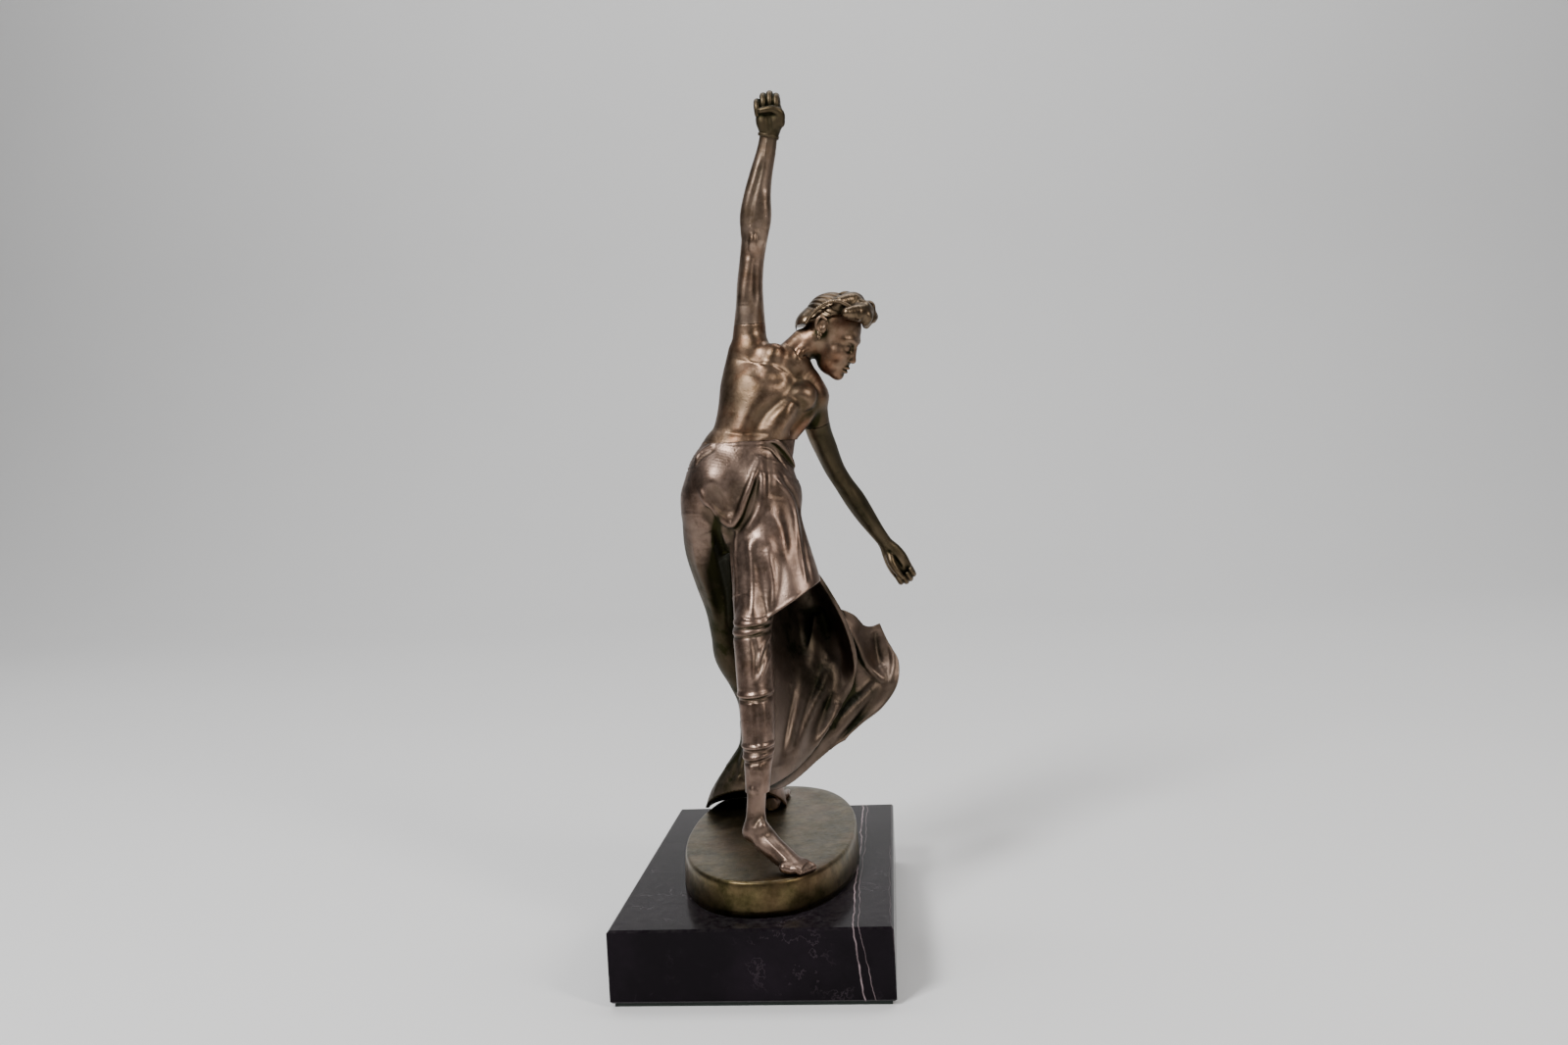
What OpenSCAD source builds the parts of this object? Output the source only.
// Bronze dancer statuette on a marble plinth, cast in sections.
// Origin: centre of the felt's underside. +Z up. The dancer faces +Y, so -Y is her back.

/* [Dancer] */
// Height of the dancer, from the terrace to the top of the raised fist
figure_h = 297; // [240:1:360]
// Wall of the hollow castings
cast_wall = 3; // [2:0.1:3.6]
// Thickness of the flying drape
drape_t = 2.4; // [1.8:0.1:3]

/* [Terrace] */
// Height of the bronze terrace under the dancer's feet
terrace_h = 13; // [10:0.5:20]
// Metal between the dancer's stance and the terrace's edge
terrace_margin = 9; // [6:0.5:16]
// Top and side wall of the hollow terrace
terrace_wall = 4; // [3:0.1:6]
// How far the terrace stands to the right of the plinth's centre
terrace_shift = 2; // [-4:0.5:4]
// How far the dancer's own centre stands to the right of the terrace's centre
dancer_shift = -2; // [-3:0.5:3]

/* [Plinth] */
// Height of the marble block
plinth_h = 26.5; // [22:0.5:50]
// Ledge of marble at each side of the terrace
ledge_side = 16; // [8:0.5:40]
// Ledge of marble before and behind the terrace
ledge_end = 10; // [6:0.5:40]
// Bevel on the edges of the marble
plinth_bevel = 0.8; // [0.2:0.1:3]
// Thickness of the felt under the marble
felt_t = 1.5; // [0.5:0.1:3]
// How far the felt stops short of the marble's edge
felt_inset = 1.5; // [0.5:0.1:5]

/* [Fixings] */
// Diameter of the threaded studs
stud_d = 6; // [4:0.5:8]
// Distance between the two studs
stud_pitch = 70; // [50:1:80]
// Thickness of the nuts
nut_t = 5; // [3:0.1:7]
// Thickness of the washers
washer_t = 1.2; // [0.8:0.1:2]
// Diameter of the dowels in the shoulders and the neck
dowel_d = 3; // [2:0.1:3.4]
// Diameter of the dowels in the wrists and the feet
small_dowel_d = 2; // [1.4:0.1:2.4]
// Radial gap around studs and dowels
clearance = 0.1; // [0.05:0.05:0.3]

/* [Hidden] */

// The stations below are set out for a dancer of this height
drawn_h = 297;
k = figure_h / drawn_h;
stance_x = 26;
stance_y = 57;

plinth_top = felt_t + plinth_h;
terrace_top = plinth_top + terrace_h;
terrace_a = stance_x * k + terrace_margin;
terrace_b = stance_y * k + terrace_margin;
plinth_w = 2 * (terrace_a + ledge_side);
plinth_d = 2 * (terrace_b + ledge_end);

// The terrace is slightly fuller than an ellipse and leans in a little towards its top
oval_power = 2.25;
oval_points = 120;
terrace_draft = 0.8;

hole_d = stud_d + 1;
boss_d = stud_d + 8;
stud_bite = terrace_h - terrace_wall;
washer_d = 2.6 * stud_d;
nut_af = 1.67 * stud_d;
recess_d = washer_d + 4;
recess_depth = washer_t + nut_t + 4;
stud_foot = felt_t + 2;

ring_n = 28;
ring_wall = 2;
bronze = "#6f5a48";

// ---- small vector helpers ----
function unit(v) = v / norm(v);
function across(turn, t) =
    let (w = [cos(turn), sin(turn), 0])
    unit(w - (w * t) * t);
function tangent(s, i) =
    unit(s[min(i + 1, len(s) - 1)][0] - s[max(i - 1, 0)][0]);

// A station is [centre, half width, half depth, turn of the width about Z].
// Centres are drawn about the dancer's own origin.
function ring(s, i, inset) =
    let (t = tangent(s, i), e1 = across(s[i][3], t), e2 = cross(t, e1))
    [for (j = [0:ring_n - 1])
        let (a = 360 * j / ring_n)
        k * s[i][0]
            + (k * s[i][1] - inset) * cos(a) * e1
            + (k * s[i][2] - inset) * sin(a) * e2];

// Moves to the dancer's own origin, the middle of her stance on the terrace's top
module at_dancer() translate([terrace_shift + dancer_shift, 0, terrace_top]) children();

// Closed solid through rings first to last of a list of stations
module loft(s, first = 0, last = -1, inset = 0) {
    stop = last < 0 ? len(s) - 1 : last;
    rings = stop - first;
    points = [for (i = [first:stop]) each ring(s, i, inset)];
    sides = [for (i = [0:rings - 1], j = [0:ring_n - 1])
        let (
            a = i * ring_n + j,
            b = i * ring_n + (j + 1) % ring_n,
            c = b + ring_n,
            d = a + ring_n
        )
        each [[a, d, c], [a, c, b]]];
    bottom = [for (j = [0:ring_n - 1]) j];
    top = [for (j = [ring_n - 1:-1:0]) rings * ring_n + j];
    at_dancer()
        polyhedron(points, concat([bottom, top], sides), convexity = 6);
}

// Straight dowel of diameter d and given length, centred on a point of the dancer, along dir
module dowel(at, dir, d, length) {
    u = unit(dir);
    at_dancer()
        translate(k * at)
            rotate([0, acos(u[2]), atan2(u[1], u[0])])
                cylinder(h = length, d = d, center = true, $fn = 48);
}

// ---- the dancer's stations ----
// Trunk, from between the thighs to the root of the neck
TRUNK = [
    [[-4, -6, 114], 13, 13, 0],
    [[-4, -6, 122], 20, 16.5, 0],
    [[-3.6, -5.6, 130], 23.4, 18, 0],
    [[-3.2, -5.2, 138], 24.2, 18.2, 2],
    [[-2.4, -4.7, 146], 22.6, 17, 4],
    [[-0.5, -4, 153], 19.4, 14.6, 5],
    [[2, -3, 159.5], 17.2, 12.8, 6],
    [[4, -2, 167], 16.4, 12.2, 8],
    [[7, -1, 174.5], 17.6, 12.8, 10],
    [[10.4, 0, 181], 18.8, 13.2, 12],
    [[13.6, 1, 186], 18.4, 12.4, 12],
    [[16.2, 1.6, 189.6], 14, 10.4, 12],
    [[18.2, 2, 192.2], 8.4, 8, 12],
    [[20, 2.2, 194.4], 6.4, 6.6, 12]
];
waist = 6;

// Raised left arm, from inside the shoulder to the wrist; the seam with the torso is at arm_seam
LEFT_ARM = [
    [[7.5, 1, 183], 7, 7, 0],
    [[4.5, 1.4, 192], 8.6, 8.6, 0],
    [[3, 1.8, 200], 7.8, 8.2, 0],
    [[2.6, 1.6, 207.5], 6.5, 7, 0],
    [[3.2, 0.8, 216], 5.7, 6.2, 0],
    [[4, -0.2, 225], 5.3, 5.7, 0],
    [[5.4, -1.4, 234], 5.1, 5.2, 0],
    [[7, -3, 241.5], 5.4, 5.2, 0],
    [[8.2, -4, 249.5], 6, 5.4, 0],
    [[9.2, -5, 257], 5.5, 5, 0],
    [[11.2, -6, 265.5], 4.6, 4.3, 0],
    [[13.6, -7, 273.5], 3.9, 3.5, 0],
    [[15, -8, 279], 3.6, 3.1, 0]
];
left_arm_seam = 3;

// Closed left hand: wrist, heel of the hand, knuckles, folded fingers
LEFT_HAND = [
    [[15, -8, 279], 3.6, 3.1, 0],
    [[15.84, -8.6, 282.3], 4.6, 3.8, 0],
    [[16.2, -8.8, 286.4], 5.8, 5, 0],
    [[16, -9, 290.6], 5.8, 5.6, 0],
    [[15.4, -9.4, 294.2], 4.9, 4.9, 0],
    [[15.2, -9.6, 297], 3.4, 3.2, 0]
];

// Lowered right arm, from inside the shoulder blade to the wrist
RIGHT_ARM = [
    [[18, 2, 186], 6, 6, 0],
    [[24.6, 4.6, 180.4], 7.4, 7.2, 0],
    [[27, 7.5, 174], 6.6, 6.8, 0],
    [[27.4, 10.6, 166], 5.5, 5.8, 0],
    [[30.2, 15, 156.6], 4.9, 5.1, 0],
    [[33.4, 19, 147.5], 4.4, 4.6, 0],
    [[37, 22, 140.6], 4.3, 4.3, 0],
    [[41.4, 24.4, 133.4], 4.5, 4.3, 0],
    [[45.6, 26.4, 126.2], 4.1, 3.9, 0],
    [[49.6, 28.2, 119.8], 3.4, 3.2, 0],
    [[52.8, 29.6, 115], 3, 2.7, 0]
];
right_arm_seam = 3;

RIGHT_HAND = [
    [[52.8, 29.6, 115], 3, 2.7, 0],
    [[55.04, 30.58, 111.64], 4, 3.3, 0],
    [[57.2, 31.6, 107.2], 5, 4.2, 0],
    [[59.2, 32.6, 102.8], 5.3, 4.8, 0],
    [[60.6, 33.4, 98.8], 4.6, 4.6, 0],
    [[61.6, 34, 95.6], 2.8, 2.8, 0]
];

// Neck and skull; the head looks along +X and down
HEAD = [
    [[20, 2.2, 194.4], 6.4, 6.6, 12],
    [[21.8, 2.4, 196.6], 6, 6.2, 0],
    [[24.6, 2.6, 198.2], 8, 6.8, 0],
    [[28.6, 2.8, 199], 12.4, 9, 0],
    [[31.8, 2.9, 201], 14.8, 11, 0],
    [[34.6, 3, 204], 15.2, 12, 0],
    [[37, 3, 207.6], 14.6, 12, 0],
    [[39.2, 3, 211.2], 12.6, 11, 0],
    [[41.2, 3, 214.4], 9, 8.4, 0],
    [[42.4, 3, 216.4], 4.4, 4.2, 0]
];

// Right leg in its clinging skirt, from the hip to the hem above the ankle
RIGHT_LEG = [
    [[7, -9, 132], 11, 11, 0],
    [[6.4, -15, 116], 12.4, 12.4, 0],
    [[4.4, -21.5, 101], 10.4, 11, 0],
    [[1.2, -28.5, 87], 8, 8.8, 0],
    [[1.5, -32, 78], 7.5, 8.2, 0],
    [[2.2, -36, 65], 7.3, 7.9, 0],
    [[2.7, -39.2, 53.5], 6.8, 7.2, 0],
    [[2.7, -41.6, 43.5], 6.2, 6.4, 0],
    [[2.3, -43.3, 36], 5.1, 5.3, 0],
    [[1.9, -45, 27], 4.5, 4.7, 0]
];

// Panel of skirt that falls over the right thigh and stands off it to the right
THIGH_PANEL = [
    [[6, -8, 138], 13, 12, 0],
    [[7.4, -11, 126], 14, 12.4, 0],
    [[9, -14, 113], 15.4, 12.6, -4],
    [[11.6, -18, 101], 16.8, 12.4, -8],
    [[13, -22, 89], 17.6, 12, -10],
    [[13.6, -26, 78], 17.6, 11, -10]
];

// Left leg in the skirt, flaring into a bell above the terrace
LEFT_LEG = [
    [[-13, -1, 132], 11.5, 12, 0],
    [[-17, 4, 117], 11.4, 12, 0],
    [[-16.4, 9, 104], 10.6, 11.4, 0],
    [[-14.6, 14, 91], 9.6, 10.4, 0],
    [[-13.4, 18, 79], 9, 9.6, 0],
    [[-12.2, 21, 69], 9.4, 9.2, 0],
    [[-8.6, 23.4, 59], 8.6, 8.6, 0],
    [[-6, 25.4, 49], 8, 8.4, 0],
    [[-5.2, 27, 38], 8.2, 9, 0],
    [[-6, 28.4, 27], 8.8, 10.4, 0],
    [[-8.6, 29.4, 16], 13, 13.6, 0],
    [[-11.6, 30.4, 4], 17, 17, 0],
    [[-13, 31, -3], 18.4, 18, 0],
    [[-14, 31.4, -8], 19.4, 18.8, 0]
];
bell_top = 8;
// The bell's hem rests on the terrace at its far side and lifts by this angle towards her back
hem_lift = 37;
hem_rest_y = 31;

// Right foot on its toes, from the hem to the toe tips; soles are cut flat on the terrace
RIGHT_FOOT = [
    [[1.9, -45, 27], 3.6, 3.8, 0],
    [[1.6, -46.28, 20.2], 3.3, 3.3, 0],
    [[1.4, -47.2, 14.4], 4.6, 4, 0],
    [[4.6, -48.8, 9.6], 5.2, 4, 20],
    [[9.4, -51.2, 5.8], 4.8, 4.2, 45],
    [[14, -53.6, 3.1], 4.4, 3.6, 65],
    [[18.4, -55.6, 1.9], 4.4, 2.4, 70],
    [[22, -57, 1.5], 3, 1.7, 70]
];

// Left foot flat on the terrace, pointing away, with the shin that goes up inside the bell
LEFT_SHIN = [
    [[-5.2, 27, 38], 3.6, 3.6, 0],
    [[-5.2, 27.6, 33.6], 3.5, 3.5, 0],
    [[-3.2, 27.8, 22], 3.3, 3.3, 0],
    [[-1.6, 27.6, 12], 3.5, 3.7, 0],
    [[-1, 27.4, 4], 3.8, 4.6, 0]
];
LEFT_FOOT = [
    [[-0.8, 21.4, 3], 2.6, 2.6, 0],
    [[-0.8, 24, 3.4], 3.8, 3.8, 0],
    [[-0.6, 31, 4], 3.6, 4.4, 0],
    [[0.2, 38, 2.8], 4.2, 3.2, 0],
    [[1, 45, 1.7], 4.6, 2.2, 0],
    [[1.4, 51, 1.2], 3.2, 1.5, 0]
];

// Flying drape: where it leaves the leg, its free edge, and how far it bellies out behind, from knee to hem
DRAPE_ROOT = [
    [4, -27, 85], [4, -29, 79], [4, -31, 73], [4.2, -33, 67], [4.4, -34.6, 61],
    [4.4, -36, 55], [4.2, -37.6, 49], [3.8, -39.4, 43], [3.2, -41.2, 37], [2.6, -43, 31]
];
DRAPE_EDGE = [
    [9, -25, 91], [18, -17, 97], [27, -7, 101], [34, -2, 88], [39.5, 9, 80],
    [48.5, 19, 80.5], [56.5, 16, 62], [51, 9, 47], [35, 1, 36], [16, -16, 25.5]
];
DRAPE_BELLY = [2, 10, 20, 24, 20, 10, 4, 4, 4, 3];
drape_rows = 27;
drape_cols = 14;
fold_count = 4.5;
fold_h = 1.6;

// ---- points between a list's entries, on a Catmull-Rom curve ----
function pick(list, i) = list[max(0, min(len(list) - 1, i))];
function along(list, u) =
    let (
        x = u * (len(list) - 1), i = min(floor(x), len(list) - 2), f = x - i,
        a = pick(list, i - 1), b = pick(list, i), c = pick(list, i + 1), d = pick(list, i + 2)
    )
    b + 0.5 * f * ((c - a) + f * ((2 * a - 5 * b + 4 * c - d) + f * (3 * (b - c) + d - a)));

function drape_point(u, v) =
    let (
        root = along(DRAPE_ROOT, u), edge = along(DRAPE_EDGE, u), belly = along(DRAPE_BELLY, u),
        fold = fold_h * v * sin(360 * fold_count * u)
    )
    k * (root + v * (edge - root) + [0, belly * sin(180 * v) + fold, 0]);

function drape_normal(u, v) =
    let (h = 0.01)
    unit(cross(
        drape_point(min(u + h, 1), v) - drape_point(max(u - h, 0), v),
        drape_point(u, min(v + h, 1)) - drape_point(u, max(v - h, 0))
    ));

module drape_sheet() {
    nu = drape_rows;
    nv = drape_cols;
    half = drape_t / 2;
    sides = [for (side = [1, -1], i = [0:nu], j = [0:nv])
        drape_point(i / nu, j / nv) + side * half * drape_normal(i / nu, j / nv)];
    shift = (nu + 1) * (nv + 1);
    function at(i, j) = i * (nv + 1) + j;
    front = [for (i = [0:nu - 1], j = [0:nv - 1])
        each [[at(i, j), at(i + 1, j), at(i + 1, j + 1)], [at(i, j), at(i + 1, j + 1), at(i, j + 1)]]];
    back = [for (f = front) [f[2] + shift, f[1] + shift, f[0] + shift]];
    rim = concat(
        [for (i = [0:nu - 1]) [at(i, 0), at(i + 1, 0)]],
        [for (j = [0:nv - 1]) [at(nu, j), at(nu, j + 1)]],
        [for (i = [nu:-1:1]) [at(i, nv), at(i - 1, nv)]],
        [for (j = [nv:-1:1]) [at(0, j), at(0, j - 1)]]
    );
    edge = [for (e = rim) each [[e[1], e[0], e[0] + shift], [e[1], e[0] + shift, e[1] + shift]]];
    at_dancer()
        polyhedron(sides, concat(front, back, edge), convexity = 10);
}

// ---- plinth, felt and fixings ----
module at_studs(which) translate([terrace_shift, which * stud_pitch / 2, 0]) children();

module marble_plinth() {
    color("#1d191b")
    difference() {
        translate([0, 0, felt_t])
            hull() {
                translate([0, 0, plinth_bevel])
                    linear_extrude(plinth_h - 2 * plinth_bevel)
                        square([plinth_w, plinth_d], center = true);
                linear_extrude(plinth_h)
                    square([plinth_w - 2 * plinth_bevel, plinth_d - 2 * plinth_bevel], center = true);
            }
        for (which = [-1, 1])
            at_studs(which) {
                translate([0, 0, -1])
                    cylinder(h = plinth_top + 2, d = hole_d, $fn = 48);
                translate([0, 0, -1])
                    cylinder(h = felt_t + recess_depth + 1, d = recess_d, $fn = 64);
            }
    }
}

module base_felt() {
    color("#23302a")
    linear_extrude(felt_t)
        square([plinth_w - 2 * felt_inset, plinth_d - 2 * felt_inset], center = true);
}

function oval(a, b) =
    [for (i = [0:oval_points - 1])
        let (t = 360 * i / oval_points, p = 2 / oval_power)
        [a * sign(cos(t)) * pow(abs(cos(t)), p), b * sign(sin(t)) * pow(abs(sin(t)), p)]];

module terrace_outline(inset) polygon(oval(terrace_a - inset, terrace_b - inset));

module terrace() {
    color(bronze)
    difference() {
        union() {
            difference() {
                translate([terrace_shift, 0, plinth_top])
                    hull() {
                        linear_extrude(terrace_h / 2) terrace_outline(0);
                        linear_extrude(terrace_h) terrace_outline(terrace_draft);
                    }
                translate([terrace_shift, 0, plinth_top - 1])
                    linear_extrude(terrace_h - terrace_wall + 1)
                        terrace_outline(terrace_wall + terrace_draft);
            }
            for (which = [-1, 1])
                at_studs(which)
                    translate([0, 0, plinth_top])
                        cylinder(h = terrace_h - terrace_wall / 2, d = boss_d, $fn = 48);
        }
        for (which = [-1, 1])
            at_studs(which)
                translate([0, 0, plinth_top - 1])
                    cylinder(h = stud_bite + 1 + clearance, d = stud_d + 2 * clearance, $fn = 48);
        foot_dowel_right(clearance);
        foot_dowel_left(clearance);
    }
}

module stud(which) {
    color("silver")
    at_studs(which)
        translate([0, 0, stud_foot])
            cylinder(h = plinth_top + stud_bite - stud_foot, d = stud_d, $fn = 48);
}

module washer(which) {
    color("silver")
    at_studs(which)
        translate([0, 0, felt_t + recess_depth - washer_t])
            difference() {
                cylinder(h = washer_t, d = washer_d, $fn = 48);
                translate([0, 0, -1])
                    cylinder(h = washer_t + 2, d = stud_d + 0.4, $fn = 48);
            }
}

module nut(which) {
    color("silver")
    at_studs(which)
        translate([0, 0, felt_t + recess_depth - washer_t - nut_t])
            difference() {
                cylinder(h = nut_t, d = nut_af / cos(30), $fn = 6);
                translate([0, 0, -1])
                    cylinder(h = nut_t + 2, d = stud_d + 2 * clearance, $fn = 48);
            }
}

// ---- dowels, drawn a clearance larger where they cut their holes ----
module neck_pin(gap) dowel([20, 2.2, 194.4], [1.6, 0.2, 1.5], dowel_d + 2 * gap, 9 * k + 2 * gap);
module left_shoulder_pin(gap)
    dowel([2.6, 1.6, 207.5], [0, -0.1, 1], dowel_d + 2 * gap, 14 * k + 2 * gap);
module right_shoulder_pin(gap)
    dowel([27.4, 10.6, 166], [1.6, 3.75, -8.7], dowel_d + 2 * gap, 12 * k + 2 * gap);
module left_wrist_pin(gap)
    dowel([15, -8, 279], [0.8, -0.5, 2.9], small_dowel_d + 2 * gap, 8 * k + 2 * gap);
module right_wrist_pin(gap)
    dowel([52.8, 29.6, 115], [2.6, 1.1, -4.1], small_dowel_d + 2 * gap, 8 * k + 2 * gap);
module foot_dowel_right(gap)
    dowel([14, -55, 0], [0, 0, 1], small_dowel_d + 2 * gap, 5.4 + 2 * gap);
module foot_dowel_left(gap)
    dowel([-0.6, 28, 0], [0, 0, 1], small_dowel_d + 2 * gap, 6.6 + 2 * gap);

// Half space above the terrace's top
module above_terrace()
    translate([-250, -250, terrace_top]) cube([500, 500, 600]);

// Wedge below the slanting hem that runs from the back of the knee up to the drape's corner
module below_thigh_hem()
    at_dancer()
        translate(k * [8, -30, 91.5])
            rotate([0, -31, 0])
                translate(k * [-60, -80, -60]) cube(k * [160, 160, 60]);

// Space above the plane of the bell's hem
module above_hem()
    at_dancer()
        translate([0, k * hem_rest_y, 0]) rotate([-hem_lift, 0, 0])
            translate([-250, -300, 0]) cube([500, 600, 500]);

// ---- the sections of the dancer ----
module hip_section() {
    color(bronze)
    difference() {
        loft(TRUNK, 0, waist);
        loft(TRUNK, 2, waist + 1, cast_wall);
        loft(RIGHT_LEG);
        thigh_panel();
        loft(LEFT_LEG, 0, 6);
    }
}

module thigh_panel() {
    difference() {
        loft(THIGH_PANEL);
        below_thigh_hem();
    }
}

module right_leg_section() {
    color(bronze)
    difference() {
        union() {
            loft(RIGHT_LEG);
            thigh_panel();
        }
        loft(LEFT_LEG, 0, 6);
    }
}

module left_leg_section() {
    color(bronze)
    intersection() {
        difference() {
            loft(LEFT_LEG, 0, len(LEFT_LEG) - 2);
            loft(LEFT_LEG, bell_top, len(LEFT_LEG) - 1, drape_t);
            loft(LEFT_SHIN);
            loft(LEFT_FOOT);
        }
        above_terrace();
        above_hem();
    }
}

module flying_drape() {
    color(bronze)
    difference() {
        drape_sheet();
        loft(RIGHT_LEG);
        thigh_panel();
    }
}

module right_foot() {
    color(bronze)
    difference() {
        intersection() {
            loft(RIGHT_FOOT);
            above_terrace();
        }
        foot_dowel_right(clearance);
    }
}

module left_foot() {
    color(bronze)
    difference() {
        intersection() {
            union() {
                loft(LEFT_SHIN);
                loft(LEFT_FOOT);
            }
            above_terrace();
        }
        foot_dowel_left(clearance);
    }
}

module torso() {
    color(bronze)
    difference() {
        union() {
            difference() {
                loft(TRUNK, waist, len(TRUNK) - 1);
                loft(TRUNK, waist - 1, len(TRUNK) - 5, cast_wall);
            }
            loft(LEFT_ARM, 0, left_arm_seam);
            loft(RIGHT_ARM, 0, right_arm_seam);
        }
        neck_pin(clearance);
        left_shoulder_pin(clearance);
        right_shoulder_pin(clearance);
    }
}

module head() {
    color(bronze)
    difference() {
        loft(HEAD);
        neck_pin(clearance);
    }
}

module left_arm() {
    color(bronze)
    difference() {
        loft(LEFT_ARM, left_arm_seam, len(LEFT_ARM) - 1);
        left_shoulder_pin(clearance);
        left_wrist_pin(clearance);
    }
}

module left_hand() {
    color(bronze)
    difference() {
        loft(LEFT_HAND);
        left_wrist_pin(clearance);
    }
}

module right_arm() {
    color(bronze)
    difference() {
        loft(RIGHT_ARM, right_arm_seam, len(RIGHT_ARM) - 1);
        right_shoulder_pin(clearance);
        right_wrist_pin(clearance);
    }
}

module right_hand() {
    color(bronze)
    difference() {
        loft(RIGHT_HAND);
        right_wrist_pin(clearance);
    }
}

// Brass ring inside the waist that lines up the torso with the hips
module waist_ring() {
    color("#b08d4a")
    difference() {
        loft(TRUNK, waist - 1, waist + 1, cast_wall + clearance);
        loft(TRUNK, waist - 2, waist + 2, cast_wall + clearance + ring_wall);
    }
}

module pin_colour() color("#b08d4a") children();

marble_plinth();
base_felt();
terrace();
stud(-1);  // front_stud
stud(1);  // rear_stud
washer(-1);  // front_washer
washer(1);  // rear_washer
nut(-1);  // front_nut
nut(1);  // rear_nut
hip_section();
right_leg_section();
left_leg_section();
flying_drape();
right_foot();
left_foot();
torso();
head();
left_arm();
left_hand();
right_arm();
right_hand();
waist_ring();
pin_colour() neck_pin(0);  // neck_dowel
pin_colour() left_shoulder_pin(0);  // left_shoulder_dowel
pin_colour() right_shoulder_pin(0);  // right_shoulder_dowel
pin_colour() left_wrist_pin(0);  // left_wrist_dowel
pin_colour() right_wrist_pin(0);  // right_wrist_dowel
pin_colour() foot_dowel_right(0);  // right_foot_dowel
pin_colour() foot_dowel_left(0);  // left_foot_dowel
